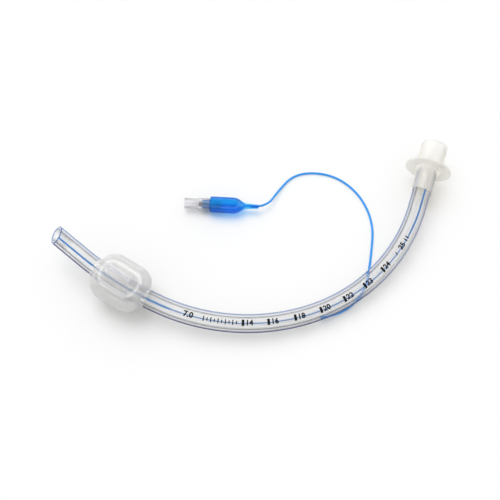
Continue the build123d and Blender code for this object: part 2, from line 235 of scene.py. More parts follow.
def pilot_point(along, radius, roll):
    """Points round the pilot valve's axis: a distance from the mouth, a radius and an angle from up."""
    turn = math.radians(PILOT_HEADING)
    axis = np.array((math.cos(turn), math.sin(turn), 0.0))
    side = np.array((-axis[1], axis[0], 0.0))
    up = np.array((0.0, 0.0, 1.0))
    spread = np.asarray(radius)[..., None] * (np.cos(roll)[..., None] * up + np.sin(roll)[..., None] * side)
    return PILOT_MOUTH + np.asarray(along)[..., None] * axis + spread


def ring_angles(count):
    """Angles round a ring, with the first repeated at the end for the seam of the UV map."""
    return np.linspace(0.0, 2 * math.pi, count + 1)


def grid_object(name, points, uv, close_rows, material):
    """A mesh from a grid of points, rows along and columns round, closed round and if asked end to end.

    Quads join neighbours (i, j), (i+1, j), (i+1, j+1), (i, j+1). The last column of points repeats the first
    for the UV map and isn't used for vertices. If the signed volume, a sixth of the sum of a . (b x c) over
    the triangles, comes out negative, the faces are turned round so that they point outwards.
    """
    rows, columns = points.shape[0], points.shape[1] - 1
    vertices = points[:, :columns].reshape(-1, 3) * MM
    quad_rows = rows if close_rows else rows - 1
    i, j = np.meshgrid(np.arange(quad_rows), np.arange(columns), indexing="ij")
    i2, j2 = (i + 1) % rows, (j + 1) % columns
    row, next_row = i * columns, i2 * columns
    quads = np.stack((row + j, next_row + j, next_row + j2, row + j2), axis=-1).reshape(-1, 4)
    corners = np.stack((uv[i, j], uv[i2, j], uv[i2, j + 1], uv[i, j + 1]), axis=2).reshape(-1, 4, 2)
    a, b, c, d = (vertices[quads[:, k]] for k in range(4))
    volume = np.einsum("ij,ij->i", a, np.cross(b, c) + np.cross(c, d)).sum()
    if volume < 0:
        quads, corners = quads[:, ::-1], corners[:, ::-1]
    mesh = bpy.data.meshes.new(name)
    mesh.vertices.add(len(vertices))
    mesh.vertices.foreach_set("co", vertices.ravel())
    mesh.loops.add(quads.size)
    mesh.loops.foreach_set("vertex_index", quads.ravel().astype(np.int32))
    mesh.polygons.add(len(quads))
    mesh.polygons.foreach_set("loop_start", np.arange(0, quads.size, 4, dtype=np.int32))
    layer = mesh.uv_layers.new(name="surface")
    layer.data.foreach_set("uv", corners.reshape(-1).astype(np.float32))
    mesh.update(calc_edges=True)
    mesh.validate()
    mesh.shade_smooth()
    mesh.set_sharp_from_angle(angle=math.radians(38))
    mesh.materials.append(material)
    return linked(name, mesh)


def rounded_profile(corners):
    """A closed profile of (radius, along) points from corners of (radius, along, rounding).

    Each corner becomes a quadratic curve from a point its rounding before it to one as far after it, with the
    corner as its middle control: (1-t)^2 a + 2t(1-t) corner + t^2 b.
    """
    corners = np.array(corners)
    places, roundings = corners[:, :2], corners[:, 2]
    t = np.linspace(0.0, 1.0, 7)[:, None]
    out = []
    for number, (corner, rounding) in enumerate(zip(places, roundings)):
        before, after = places[number - 1] - corner, places[(number + 1) % len(places)] - corner
        start = corner + before / np.linalg.norm(before) * rounding
        end = corner + after / np.linalg.norm(after) * rounding
        out.append((1 - t) ** 2 * start + 2 * t * (1 - t) * corner + t**2 * end)
    return with_supports(np.concatenate(out))


def with_supports(profile):
    """Adds a point near each end of every long straight, so that roundings don't bend its normals."""
    short, near = 0.5, 0.05
    out = []
    for start, end in zip(profile, np.roll(profile, -1, axis=0)):
        out.append(start)
        way = end - start
        length = np.linalg.norm(way)
        if length > short:
            out.extend((start + way * near / length, end - way * near / length))
    return np.array(out)


def turned_piece(name, profile, place_point, columns, material):
    """A closed profile of (radius, along) points carried round by place_point(along, radius, roll).

    Its UV map has the distance walked along the profile in metres, and turns round the ring.
    """
    roll = ring_angles(columns)
    along = np.repeat(profile[:, 1:], columns + 1, axis=1)
    radius = np.repeat(profile[:, :1], columns + 1, axis=1)
    points = place_point(along, radius, np.broadcast_to(roll, along.shape))
    steps = np.linalg.norm(np.diff(profile, axis=0, append=profile[:1]), axis=1)
    way = np.concatenate(((0.0,), np.cumsum(steps)))
    uv = np.stack(np.meshgrid(way * MM, roll / (2 * math.pi), indexing="ij"), axis=-1)
    return grid_object(name, points, uv, True, material)


# Materials


def finished(material, shader, tint=None):
    """Gives a material its surface shader.

    A tint is for a clear one: shadow and bounced light pass straight through, as caustics aren't traced.
    """
    tree = material.node_tree
    surface = shader.outputs[0]
    if tint:
        light = add_node(tree, "ShaderNodeLightPath")
        soft = add_node(
            tree,
            "ShaderNodeMath",
            {"operation": "MAXIMUM"},
            {0: light.outputs["Is Shadow Ray"], 1: light.outputs["Is Diffuse Ray"]},
        )
        through = add_node(tree, "ShaderNodeBsdfTransparent", {"Color": linear(tint)})
        links = {0: soft.outputs[0], 1: surface, 2: through.outputs[0]}
        surface = add_node(tree, "ShaderNodeMixShader", links=links).outputs[0]
    add_node(tree, "ShaderNodeOutputMaterial", links={"Surface": surface})
    return material


def squared(code):
    """An sRGB hex code's colour, squared: Principled takes the root of Base Color at each face it passes."""
    return tuple(c * c for c in linear(code))


def span(start, end, low, high, soft=False):
    """Settings that map start to end onto low to high, straight or with soft ends."""
    shape = "SMOOTHSTEP" if soft else "LINEAR"
    return {"interpolation_type": shape, "From Min": start, "From Max": end, "To Min": low, "To Max": high}


def drift(tree, scale, detail, first, second, where=None):
    """A drift between two colours or two numbers, in patches about 1 / scale metres across.

    It is a noise in the piece's own coordinates, or at where. A noise stays mostly between 0.3 and 0.7, so
    for numbers that span is widened to the whole drift.
    """
    place = where or add_node(tree, "ShaderNodeTexCoord").outputs["Object"]
    noise = add_node(tree, "ShaderNodeTexNoise", {"Scale": scale, "Detail": detail}, {"Vector": place})
    amount = noise.outputs["Fac"]
    if isinstance(first, tuple):
        colours = {"data_type": "RGBA", 6: first, 7: second}
        return add_node(tree, "ShaderNodeMix", colours, {0: amount}).outputs[2]
    return add_node(tree, "ShaderNodeMapRange", span(0.3, 0.7, first, second), {"Value": amount}).outputs[0]


def edge_tone(tree, rim, face, edge):
    """A clear wall's colour: face where it is seen face on, edge where light has come a long way through it.

    It turns from one to the other between the two facings in rim. Both may be a hex code or a colour output.
    """
    slant = add_node(tree, "ShaderNodeLayerWeight", {"Blend": 0.5})
    amount = add_node(tree, "ShaderNodeMapRange", span(*rim, 0.0, 1.0), {"Value": slant.outputs["Facing"]})
    mix = add_node(tree, "ShaderNodeMix", {"data_type": "RGBA"}, {0: amount.outputs[0]})
    for socket, colour in ((6, face), (7, edge)):
        if isinstance(colour, str):
            mix.inputs[socket].default_value = squared(colour)
        else:
            tree.links.new(colour, mix.inputs[socket])
    return mix.outputs[2]


def clear_vinyl(name, clear, coat, rim, painted_inner_code, painted_outer_code, painted_end_code):
    """Plasticised PVC, extruded: clear and glossy, greyer and bluer the longer the light's way through it.

    Only its coat has PVC's full IOR, for the gloss. The bore's edge shows inside the wall by its tone. Its
    edge has one tone inside the bend, one outside it and one outside it by the connector: painted shade and
    painted light, set by where the edge lies round and along the tube.
    """
    material, tree = new_material(name)
    uv = add_node(tree, "ShaderNodeUVMap", {"uv_map": "surface"})
    # Die lines about 1 mm apart round the tube and 100 mm long
    stretch = add_node(tree, "ShaderNodeMapping", {"Scale": (10.0, 30.0, 1.0)}, {"Vector": uv.outputs[0]})
    rough = drift(tree, 1.0, 2.0, *CLEAR_ROUGHNESS, stretch.outputs[0])
    # cos(roll) is 1 inside the bend and -1 outside it
    split = add_node(tree, "ShaderNodeSeparateXYZ", links={0: uv.outputs[0]})
    turns = split.outputs["Y"]
    roll = add_node(tree, "ShaderNodeMath", {"operation": "MULTIPLY", 1: 2 * math.pi}, {0: turns})
    inward = add_node(tree, "ShaderNodeMath", {"operation": "COSINE"}, {0: roll.outputs[0]})
    outside = add_node(
        tree, "ShaderNodeMapRange", span(-0.5, 0.5, 1.0, 0.0, True), {"Value": inward.outputs[0]}
    )
    # Outside the bend, painted shade gives way to painted light between 165 and 215 mm from the tip
    bend = add_node(
        tree, "ShaderNodeMapRange", span(0.165, 0.215, 1.0, 0.0, True), {"Value": split.outputs["X"]}
    )
    painted_outer_tones = {"data_type": "RGBA", 6: squared(painted_end_code), 7: squared(painted_outer_code)}
    outer = add_node(tree, "ShaderNodeMix", painted_outer_tones, {0: bend.outputs[0]})
    painted_inner_tone = {"data_type": "RGBA", 6: squared(painted_inner_code)}
    edge = add_node(tree, "ShaderNodeMix", painted_inner_tone, {0: outside.outputs[0], 7: outer.outputs[2]})
    shader = add_node(
        tree,
        "ShaderNodeBsdfPrincipled",
        {
            "Transmission Weight": clear,
            "IOR": 1.025,
            "Coat Weight": coat,
            "Coat IOR": PVC_IOR,
            "Coat Roughness": 0.07,
        },
        {"Roughness": rough, "Base Color": edge_tone(tree, rim, "#FDFDFD", edge.outputs[2])},
    )
    return finished(material, shader, "#F0F0F0")


def cut_face():
    """The bevel's cut face: light piped along the wall comes out of it, so it is cloudy and faintly blue."""
    material, tree = new_material("cut_pvc_face")
    # Knife marks about 0.3 mm apart
    tone = drift(tree, 3000.0, 2.0, linear("#B8C4D8"), linear("#CDD7E6"))
    shader = add_node(
        tree,
        "ShaderNodeBsdfPrincipled",
        {"Roughness": 0.3, "IOR": 1.1, "Transmission Weight": 0.5},
        {"Base Color": tone},
    )
    return finished(material, shader, "#E8ECF4")


def rounded_rim():
    """The bevel's rounded edges: deep blue, partly the wall's tint over a long path, partly painted shade."""
    material, tree = new_material("rounded_pvc_rim_painted_shade")
    # The rim's blue varies at random, in patches about 2 mm long
    tone = drift(tree, 500.0, 1.0, linear("#34569A"), linear("#5A78B0"))
    shader = add_node(
        tree,
        "ShaderNodeBsdfPrincipled",
        {"Roughness": 0.12, "IOR": 1.2, "Transmission Weight": 0.6, "Coat Weight": 1.0, "Coat IOR": PVC_IOR},
        {"Base Color": tone},
    )
    return finished(material, shader, "#DFE6F2")


def stripe_vinyl(colour):
    """PVC filled with a white X-ray-dense powder and blue pigment, co-extruded into the wall: flat, dense."""
    material, tree = new_material("coextruded_blue_pvc")
    uv = add_node(tree, "ShaderNodeUVMap", {"uv_map": "surface"})
    # Filler streaks, some 3 mm apart along the stripe
    stretch = add_node(tree, "ShaderNodeMapping", {"Scale": (300.0, 8.0, 1.0)}, {"Vector": uv.outputs[0]})
    tone = drift(tree, 1.0, 3.0, paler(colour, 0.0), paler(colour, 0.04), stretch.outputs[0])
    shader = add_node(tree, "ShaderNodeBsdfPrincipled", {"Roughness": 0.45, "IOR": 1.5}, {"Base Color": tone})
    return finished(material, shader)


def print_ink():
    """Solvent ink, pad-printed on PVC: near black, thin, with a slightly uneven film."""
    material, tree = new_material("pad_printed_black_ink")
    # Ink film unevenness about 0.4 mm across
    tone = drift(tree, 2500.0, 2.0, linear("#030304"), linear("#08090B"))
    settings = {"Roughness": 0.55, "Specular IOR Level": 0.2}
    shader = add_node(tree, "ShaderNodeBsdfPrincipled", settings, {"Base Color": tone})
    return finished(material, shader)


def cuff_film():
    """Blown PVC film, 0.05 mm thick, milky: mostly clear face on, denser where seen on edge, and glossy."""
    material, tree = new_material("blown_milky_pvc_film")
    facing = add_node(tree, "ShaderNodeLayerWeight", {"Blend": 0.4}).outputs["Facing"]
    dense = add_node(tree, "ShaderNodeMapRange", span(0.0, 1.0, 0.2, 0.42), {"Value": facing})
    # Uneven film, in soft patches about 8 mm across
    tone = drift(tree, 120.0, 1.0, linear("#FFFFFF"), linear("#FBFBFB"))
    milk = add_node(tree, "ShaderNodeBsdfDiffuse", links={"Color": tone})
    glow = add_node(tree, "ShaderNodeBsdfTranslucent", {"Color": linear("#FFFBF4")})
    body = add_node(tree, "ShaderNodeMixShader", {0: 0.15}, {1: milk.outputs[0], 2: glow.outputs[0]})
    clear = add_node(tree, "ShaderNodeBsdfRefraction", {"Roughness": 0.29, "IOR": 1.003})
    film_links = {0: dense.outputs[0], 1: clear.outputs[0], 2: body.outputs[0]}
    film = add_node(tree, "ShaderNodeMixShader", links=film_links)
    gloss = add_node(tree, "ShaderNodeBsdfGlossy", {"Roughness": 0.16})
    # Gloss from 9 % face on to 30 % on edge, the same from both sides of the film
    steep = add_node(tree, "ShaderNodeMath", {"operation": "POWER", 1: 4.0}, {0: facing})
    shine = add_node(tree, "ShaderNodeMapRange", span(0.0, 1.0, 0.09, 0.3), {"Value": steep.outputs[0]})
    coat_links = {0: shine.outputs[0], 1: film.outputs[0], 2: gloss.outputs[0]}
    coated = add_node(tree, "ShaderNodeMixShader", links=coat_links)
    return finished(material, coated, "#EAEAE9")


def ivory_plastic(name, base_code, clear, body, rim_code):
    """Natural polypropylene or acetal, moulded: warm white, clearer in a thin wall, with a smooth gloss."""
    material, tree = new_material(name)
    # Flow marks a few millimetres long
    rough = drift(tree, 260.0, 2.0, *CLEAR_ROUGHNESS)
    shader = add_node(
        tree,
        "ShaderNodeBsdfPrincipled",
        {
            "IOR": 1.05,
            "Transmission Weight": clear,
            "Subsurface Weight": body,
            "Subsurface Radius": (1.0, 0.95, 0.85),
            "Subsurface Scale": 0.004,
            "Coat Weight": 0.7,
            "Coat IOR": 1.49,
            "Coat Roughness": 0.1,
        },
        {"Roughness": rough, "Base Color": edge_tone(tree, (0.45, 1.0), base_code, rim_code)},
    )
    return finished(material, shader, "#F4F3F0")


def line_vinyl(colour):
    """Blue plasticised PVC, extruded thin: saturated azure, a little light in its body, glossy."""
    material, tree = new_material("extruded_azure_pvc")
    # Tone drift along the line, in patches under 2 cm long
    tone = drift(tree, 60.0, 1.0, paler(colour, 0.0), paler(colour, 0.06))
    settings = {"Roughness": 0.3, "IOR": 1.4, "Transmission Weight": 0.15}
    shader = add_node(tree, "ShaderNodeBsdfPrincipled", settings, {"Base Color": tone})
    return finished(material, shader, "#D2E1EE")


def balloon_film(colour):
    """Blue blown PVC: see-through, deep blue in its thick edges and neck, lighter where light shines in."""
    material, tree = new_material("blown_blue_pvc")
    # Soft thickness changes about 5 mm across
    tone = drift(tree, 200.0, 1.0, paler(colour, 0.0), paler(colour, 0.08))
    shader = add_node(
        tree,
        "ShaderNodeBsdfPrincipled",
        {
            "Roughness": 0.29,
            "IOR": 1.05,
            "Transmission Weight": 1.0,
            "Coat Weight": 0.6,
            "Coat IOR": 1.45,
            "Coat Roughness": 0.08,
        },
        {"Base Color": edge_tone(tree, (0.3, 0.9), tone, "#30AEF2")},
    )
    return finished(material, shader, "#B4E2FA")


def clear_housing():
    """Clear hard plastic, moulded: thin grey outlines, slight haze, glossy."""
    material, tree = new_material("moulded_clear_abs")
    # Haze in patches about 2.5 mm across
    rough = drift(tree, 400.0, 1.0, *CLEAR_ROUGHNESS)
    shader = add_node(
        tree,
        "ShaderNodeBsdfPrincipled",
        {"IOR": 1.05, "Transmission Weight": 0.96, "Coat Weight": 0.8, "Coat IOR": 1.5},
        {"Roughness": rough, "Base Color": edge_tone(tree, (0.35, 0.85), "#FAFAFB", "#8E8D94")},
    )
    return finished(material, shader, "#E8E8EA")


def moulded_part(name, dark, light, roughness, grain):
    """Opaque moulded plastic or rubber with a faint mottle of the given grain in millimetres."""
    material, tree = new_material(name)
    tone = drift(tree, 1.0 / (grain * MM), 2.0, linear(dark), linear(light))
    shader = add_node(tree, "ShaderNodeBsdfPrincipled", {"Roughness": roughness}, {"Base Color": tone})
    return finished(material, shader)


def spring_wire():
    """Drawn stainless wire: bright, with fine drawing lines that blur the gloss."""
    material, tree = new_material("drawn_stainless_wire")
    # Drawing lines about 0.2 mm apart
    rough = drift(tree, 5000.0, 1.0, 0.25, 0.4)
    settings = {"Base Color": linear("#C4C6CA"), "Metallic": 1.0}
    shader = add_node(tree, "ShaderNodeBsdfPrincipled", settings, {"Roughness": rough})
    return finished(material, shader)


def table_top():
    """White seamless paper: matte, white to the camera and in gloss, and it keeps the object's shadow."""
    material, tree = new_material("white_paper_sweep")
    where = add_node(tree, "ShaderNodeTexCoord")
    # Tooth about 1 mm across, coarser than real paper's, so that it shows
    grain = {"Scale": 900.0, "Detail": 2.0}
    tooth = add_node(tree, "ShaderNodeTexNoise", grain, {"Vector": where.outputs["Object"]})
    bump_settings = {"Strength": 0.02, "Distance": 0.0001}
    bump = add_node(tree, "ShaderNodeBump", bump_settings, {"Height": tooth.outputs["Fac"]})
    shader = add_node(
        tree,
        "ShaderNodeBsdfPrincipled",
        {"Base Color": linear("#F9F9F9"), "Roughness": 0.9, "Specular IOR Level": 0.1},
        {"Normal": bump.outputs[0]},
    )
    return finished(material, shader)


def room_light(strength):
    """The room: even and plain for diffuse light, with a soft low window all round that only gloss sees."""
    world = bpy.data.worlds.new("room")
    world.use_nodes = True
    tree = world.node_tree
    tree.nodes.clear()
    where = add_node(tree, "ShaderNodeTexCoord")
    split = add_node(tree, "ShaderNodeSeparateXYZ", links={0: where.outputs["Generated"]})
    # Brighter behind the table than in front of it
    ramp = add_node(tree, "ShaderNodeMapRange", span(-0.9, 0.6, 0.75, 1.15), {"Value": split.outputs["Y"]})
    # The window's lower and upper edges, by the z of a direction, each with its soft span
    edges = {}
    for socket, settings in enumerate((span(0.18, 0.38, 0.0, 1.0, True), span(0.5, 0.72, 1.0, 0.0, True))):
        edge = add_node(tree, "ShaderNodeMapRange", settings, {"Value": split.outputs["Z"]})
        edges[socket] = edge.outputs[0]
    window = add_node(tree, "ShaderNodeMath", {"operation": "MULTIPLY"}, edges)
    bright = add_node(tree, "ShaderNodeMapRange", span(0.0, 1.0, 0.45, 2.6), {"Value": window.outputs[0]})
    shades = []
    for level, power in ((ramp, strength), (bright, 1.0)):
        channels = {name: level.outputs[0] for name in ("Red", "Green", "Blue")}
        grey = add_node(tree, "ShaderNodeCombineColor", links=channels)
        shade = add_node(tree, "ShaderNodeBackground", {"Strength": power}, {"Color": grey.outputs[0]})
        shades.append(shade.outputs[0])
    light = add_node(tree, "ShaderNodeLightPath")
    lit_links = {0: light.outputs["Is Glossy Ray"], 1: shades[0], 2: shades[1]}
    lit = add_node(tree, "ShaderNodeMixShader", links=lit_links)
    seen = add_node(tree, "ShaderNodeBackground", {"Color": linear("#FFFFFF"), "Strength": 1.0})
    mix_links = {0: light.outputs["Is Camera Ray"], 1: lit.outputs[0], 2: seen.outputs[0]}
    mix = add_node(tree, "ShaderNodeMixShader", links=mix_links)
    add_node(tree, "ShaderNodeOutputWorld", links={"Surface": mix.outputs[0]})
    return world


# Pieces


def bevel_place(radius, roll):
    """Where the bevel's plane cuts a line of the tube: radius times rise times cos(roll - its roll)."""
    return radius * BEVEL_RISE * np.cos(roll - BEVEL_ROLL)


def tube_wall(materials):
    """The tube's wall as one closed grid: outside, rounded bevelled end, bore and machine end.

    Each row has a radius and a place. Rows behind the tip are rings across the tube. Over the last 9 mm a
    row's place goes in steps from there to the bevel plane, so the rows lean with it. The materials are those
    of the outside, the rounded rims, the cut face, the bore and the bore's first millimetres, greyer with
    painted shade inside the lumen.
    """
    outside, rim, cut, bore, mouth = range(5)
    columns = 96
    roll = ring_angles(columns)
    lean, tip_edge, bore_edge = 9.0, 0.5, 0.3
    back = np.linspace(TUBE_END, lean, 240)
    rows, bands = [(TUBE_R, back[:, None] + 0 * roll)], [(outside, len(back))]
    for step in np.linspace(0, 1, 9)[1:]:
        rows.append((TUBE_R, ((1 - step) * lean + step * (bevel_place(TUBE_R, roll) + tip_edge))[None, :]))
        bands.append((outside, 1))
    for turn in np.linspace(0, math.pi / 2, 7)[1:]:
        radius = TUBE_R - tip_edge * (1 - math.cos(turn))
        rows.append((radius, (bevel_place(radius, roll) + tip_edge * (1 - math.sin(turn)))[None, :]))
        bands.append((rim, 1))
    for number, turn in enumerate(np.linspace(0, math.pi / 2, 6)):
        radius = BORE_R + bore_edge * (1 - math.sin(turn))
        rows.append((radius, (bevel_place(radius, roll) + bore_edge * (1 - math.cos(turn)))[None, :]))
        bands.append((rim if number else cut, 1))
    # The bore's first millimetres take the mouth material: painted shade inside the lumen
    for step in np.linspace(1, 0, 9)[1:]:
        rows.append((BORE_R, ((1 - step) * lean + step * (bevel_place(BORE_R, roll) + bore_edge))[None, :]))
        bands.append((mouth, 1))
    rows.append((BORE_R, back[::-1][1:, None] + 0 * roll))
    bands.append((bore, len(back) - 1))
    place = np.concatenate([part for _, part in rows])
    radius = np.concatenate([np.full(part.shape, value) for value, part in rows])
    points = tube_point(place, radius, np.broadcast_to(roll, place.shape))
    uv = np.stack((place * MM, np.broadcast_to(roll / (2 * math.pi), place.shape)), axis=-1)
    wrap = np.concatenate((uv, uv[:1]))
    piece = grid_object("tube_wall", points, wrap, True, materials[0])
    for material in materials[1:]:
        piece.data.materials.append(material)
    # A band's faces join its rows to the row before them, and the last faces close the machine end
    of_row = np.concatenate([np.full(count, band) for band, count in bands])
    of_face = np.repeat(np.append(of_row[1:], outside), columns)
    piece.data.polygons.foreach_set("material_index", of_face.astype(np.int32))
    return piece


def stripe_in_wall(material):
    """The stripe set in the wall: a closed strip whose section is a curved rectangle, its ends cut square.

    Round the section the cosine and the sine of a turn are widened and clipped, which squares a circle off.
    It is thinner behind the print, between 74 and 230 mm.
    """
    place = np.linspace(STRIPE_START, SOCKET_PLACE, 260)
    behind = np.clip((place - 74.0) / 4.0, 0, 1) * np.clip((230.0 - place) / 8.0, 0, 1)
    half = (STRIPE_HALF_WIDTH - STRIPE_THINNING * behind) / TUBE_R
    turn = ring_angles(16)
    widened = 1.35
    sideways = np.clip(widened * np.cos(turn), -1, 1)
    middle_r, half_depth = (STRIPE_OUTER_R + STRIPE_INNER_R) / 2, (STRIPE_OUTER_R - STRIPE_INNER_R) / 2
    deep = middle_r + half_depth * np.clip(widened * np.sin(turn), -1, 1)
    roll = math.radians(STRIPE_ROLL) + half[:, None] * sideways[None, :]
    places = np.broadcast_to(place[:, None], roll.shape)
    points = tube_point(places, np.broadcast_to(deep, roll.shape), roll)
    middle = np.broadcast_to(points.mean(axis=1, keepdims=True), points.shape)
    points = np.concatenate((middle[:1], points, middle[-1:]))
    uv = np.stack((places * MM, np.broadcast_to(turn / (2 * math.pi), roll.shape)), axis=-1)
    uv = np.concatenate((uv[:1], uv, uv[-1:]))
    return grid_object("stripe_in_wall", points, uv, False, material)


def wrap_on_tube(mesh, place):
    """Lays a flat mesh on the tube: x runs along the tube from place, and y round it towards the inside."""
    flat = np.zeros(len(mesh.vertices) * 3)
    mesh.vertices.foreach_get("co", flat)
    flat = flat.reshape(-1, 3)
    roll = math.radians(SCALE_ROLL) - flat[:, 1] / TUBE_R
    points = tube_point(place + flat[:, 0], TUBE_R + INK_LIFT + flat[:, 2], roll)
    mesh.vertices.foreach_set("co", (points * MM).ravel())
    mesh.update()


def printed_shape(name, outline_curve, place, material):
    """A print from a flat curve: made a mesh, cut into small faces that can bend, and laid on the tube."""
    bpy.context.view_layer.update()
    shaped = outline_curve.evaluated_get(bpy.context.evaluated_depsgraph_get())
    mesh = bpy.data.meshes.new_from_object(shaped)
    bpy.data.objects.remove(outline_curve)
    longest, merged = 0.45, 1e-5
    work = bmesh.new()
    work.from_mesh(mesh)
    bmesh.ops.remove_doubles(work, verts=work.verts, dist=merged)
    for _ in range(4):
        bmesh.ops.triangulate(work, faces=work.faces)
        long = [edge for edge in work.edges if edge.calc_length() > longest]
        if not long:
            break
        bmesh.ops.subdivide_edges(work, edges=long, cuts=1)
    bmesh.ops.triangulate(work, faces=work.faces)
    work.to_mesh(mesh)
    work.free()
    wrap_on_tube(mesh, place)
    mesh.name = name
    mesh.materials.clear()
    mesh.materials.append(material)
    return linked(name, mesh)


def numeral(text, height):
    """A flat text curve of the given height in millimetres, centred, with a little body."""
    curve = bpy.data.curves.new("numeral", "FONT")
    curve.body = text
    # Digits are 0.72 of the font's size high
    curve.size = height / 0.72
    curve.align_x = "CENTER"
    curve.align_y = "CENTER"
    curve.space_character = 1.02
    # Strokes a little heavier than the font's
    curve.offset = 0.15
    curve.extrude = INK_BODY
    curve.resolution_u = 4
    return linked("numeral", curve)


def flat_bar(length, width):
    """A flat rectangle with slightly rounded corners, as a curve with a little body."""
    curve = bpy.data.curves.new("bar", "CURVE")
    curve.dimensions = "2D"
    curve.fill_mode = "BOTH"
    curve.extrude = INK_BODY
    spline = curve.splines.new("POLY")
    turn = np.linspace(0, 2 * math.pi, 24, endpoint=False) + math.pi / 24
    corner = 0.12
    x = np.sign(np.cos(turn)) * (length / 2 - corner) + corner * np.cos(turn)
    y = np.sign(np.sin(turn)) * (width / 2 - corner) + corner * np.sin(turn)
    spline.points.add(len(turn) - 1)
    spline.points.foreach_set("co", np.stack((x, y, 0 * x, 1 + 0 * x), axis=-1).ravel())
    spline.use_cyclic_u = True
    return linked("bar", curve)


def cuff_outline():
    """The cuff film's outside as (place, radius): collar, rounded end, flat side, rounded end, collar.

    Each end is a quarter of a superellipse from the collar up to the side, with power 2.2. Its first part,
    which would lie inside the collar, is left out.
    """
    turn = np.linspace(0.0, math.pi / 2, 26)
    power = 2 / 2.2
    round_place = CUFF_FLAT + (CUFF_HALF - CUFF_FLAT) * np.cos(turn) ** power
    round_radius = CUFF_END_R + (CUFF_R - CUFF_END_R) * np.sin(turn) ** power
    keep = round_radius > TUBE_R + 0.42
    round_place, round_radius = round_place[keep], round_radius[keep]
    # The collar's end, its rounded edge, and the foot of the film's rise
    collar_place = CUFF_HALF + np.array((COLLAR, COLLAR - 0.15, 0.4))
    collar_radius = TUBE_R + np.array((0.06, 0.22, 0.26))
    half_place = np.concatenate((collar_place, round_place))
    half_radius = np.concatenate((collar_radius, round_radius))
    sides = np.linspace(CUFF_FLAT, -CUFF_FLAT, 12)[1:-1]
    place = np.concatenate((half_place, sides, -half_place[::-1]))
    radius = np.concatenate((half_radius, np.full(sides.shape, CUFF_R), half_radius[::-1]))
    return place, radius


def make_cuff_piece(material):
    """The cuff as a film with an outside and an inside 0.12 mm apart.

    Its barrel is straight, along the chord between its ends, and its collars follow the tube.
    """
    place, radius = cuff_outline()
    edge = np.gradient(np.stack((place, radius), axis=-1), axis=0)
    edge /= np.linalg.norm(edge, axis=1, keepdims=True)
    gap = 0.02
    inner_place = place - FILM * edge[:, 1]
    inner_radius = np.maximum(radius - FILM * np.abs(edge[:, 0]) - gap, TUBE_R + gap)
    profile = np.concatenate(
        (np.stack((radius, place), axis=-1), np.stack((inner_radius, inner_place), axis=-1)[::-1])
    )

    ends, _, up = tube_frame(CUFF_MIDDLE + CUFF_HALF * np.array((-1.0, 1.0)))
    middle, chord = ends.mean(axis=0), (ends[1] - ends[0]) / np.linalg.norm(ends[1] - ends[0])
    across = np.cross(up[0], chord)

    def on_chord(along, ring, roll):
        spread = np.cos(roll)[..., None] * across + np.sin(roll)[..., None] * up[0]
        straight = middle + along[..., None] * chord + ring[..., None] * spread
        on_tube = tube_point(CUFF_MIDDLE + along, ring, roll)
        return np.where(np.abs(along)[..., None] > CUFF_HALF, on_tube, straight)

    return turned_piece("cuff_film", profile, on_chord, 96, material)


def make_connector_piece(thick, thin):
    """The connector turned round the tube's last straight, its socket and spigot in the thin wall's material.

    Its corners run from the socket's mouth over the flange and cone, and back inside to the tube's seat.
    """
    socket_r, flange_r, cone_root_r, cone_end_r = 5.85, 13.0, 7.7375, 7.55
    bore_r, spigot_bore_r, spigot_r = 6.2, 2.8, 3.5
    socket_end, spigot_end, seat, flange, cone_end = -14.0, -12.0, -0.6, 1.2, 16.2
    corners = (
        (socket_r, socket_end, 0.15),
        (socket_r, -3.2, 1.2),
        (7.1, -1.3, 0.6),
        (7.4, 0.0, 0.25),
        (flange_r, 0.0, 0.45),
        (flange_r, flange, 0.45),
        (cone_root_r, flange, 0.4),
        (cone_end_r, cone_end, 0.35),
        (bore_r, cone_end, 0.35),
        (bore_r, 4.2, 1.0),
        (spigot_bore_r, -0.3, 1.0),
        (spigot_bore_r, spigot_end, 0.15),
        (spigot_r, spigot_end, 0.15),
        (spigot_r, seat, 0.2),
        (TUBE_R, seat, 0.2),
        (TUBE_R, socket_end, 0.1),
    )
    profile = rounded_profile(corners)

    def on_axis(along, ring, roll):
        return tube_point(FLANGE_PLACE + along, ring, roll)

    columns, boss_end = 96, -2.6
    piece = turned_piece("connector_body", profile, on_axis, columns, thick)
    piece.data.materials.append(thin)
    behind = profile[:, 1] < boss_end
    in_socket = np.repeat(behind & np.roll(behind, -1), columns)
    piece.data.polygons.foreach_set("material_index", in_socket.astype(np.int32))
    return piece


def make_housing_piece(material):
    """The valve's housing turned round the pilot axis.

    Its corners run from the port's mouth over the lip and the skirt, round the sleeve's slot to the barrel's
    end, and back inside to the port's taper.
    """
    mouth_r, lip_r, port_r, skirt_r, slot_r = 2.15, 3.0, 2.8, 3.25, 2.58
    barrel_r, barrel_bore_r, stem_hole_r, taper_end_r = 2.2, 1.6, 1.05, 1.93
    port_end, barrel_seat, slot_end, skirt_end, barrel_end = 7.4, 8.4, 10.2, 14.35, 20.4
    corners = (
        (mouth_r, 0.0, 0.12),
        (lip_r, 0.0, 0.2),
        (lip_r, 0.8, 0.15),
        (port_r, 1.1, 0.15),
        (port_r, 7.6, 0.2),
        (skirt_r, 7.6, 0.25),
        (skirt_r, skirt_end, 0.2),
        (slot_r, skirt_end, 0.1),
        (slot_r, slot_end, 0.1),
        (barrel_r, slot_end, 0.1),
        (barrel_r, barrel_end, 0.2),
        (barrel_bore_r, barrel_end, 0.1),
        (barrel_bore_r, barrel_seat, 0.1),
        (stem_hole_r, barrel_seat, 0.08),
        (stem_hole_r, port_end, 0.08),
        (taper_end_r, port_end, 0.15),
    )
    return turned_piece("valve_clear_housing", rounded_profile(corners), pilot_point, 72, material)


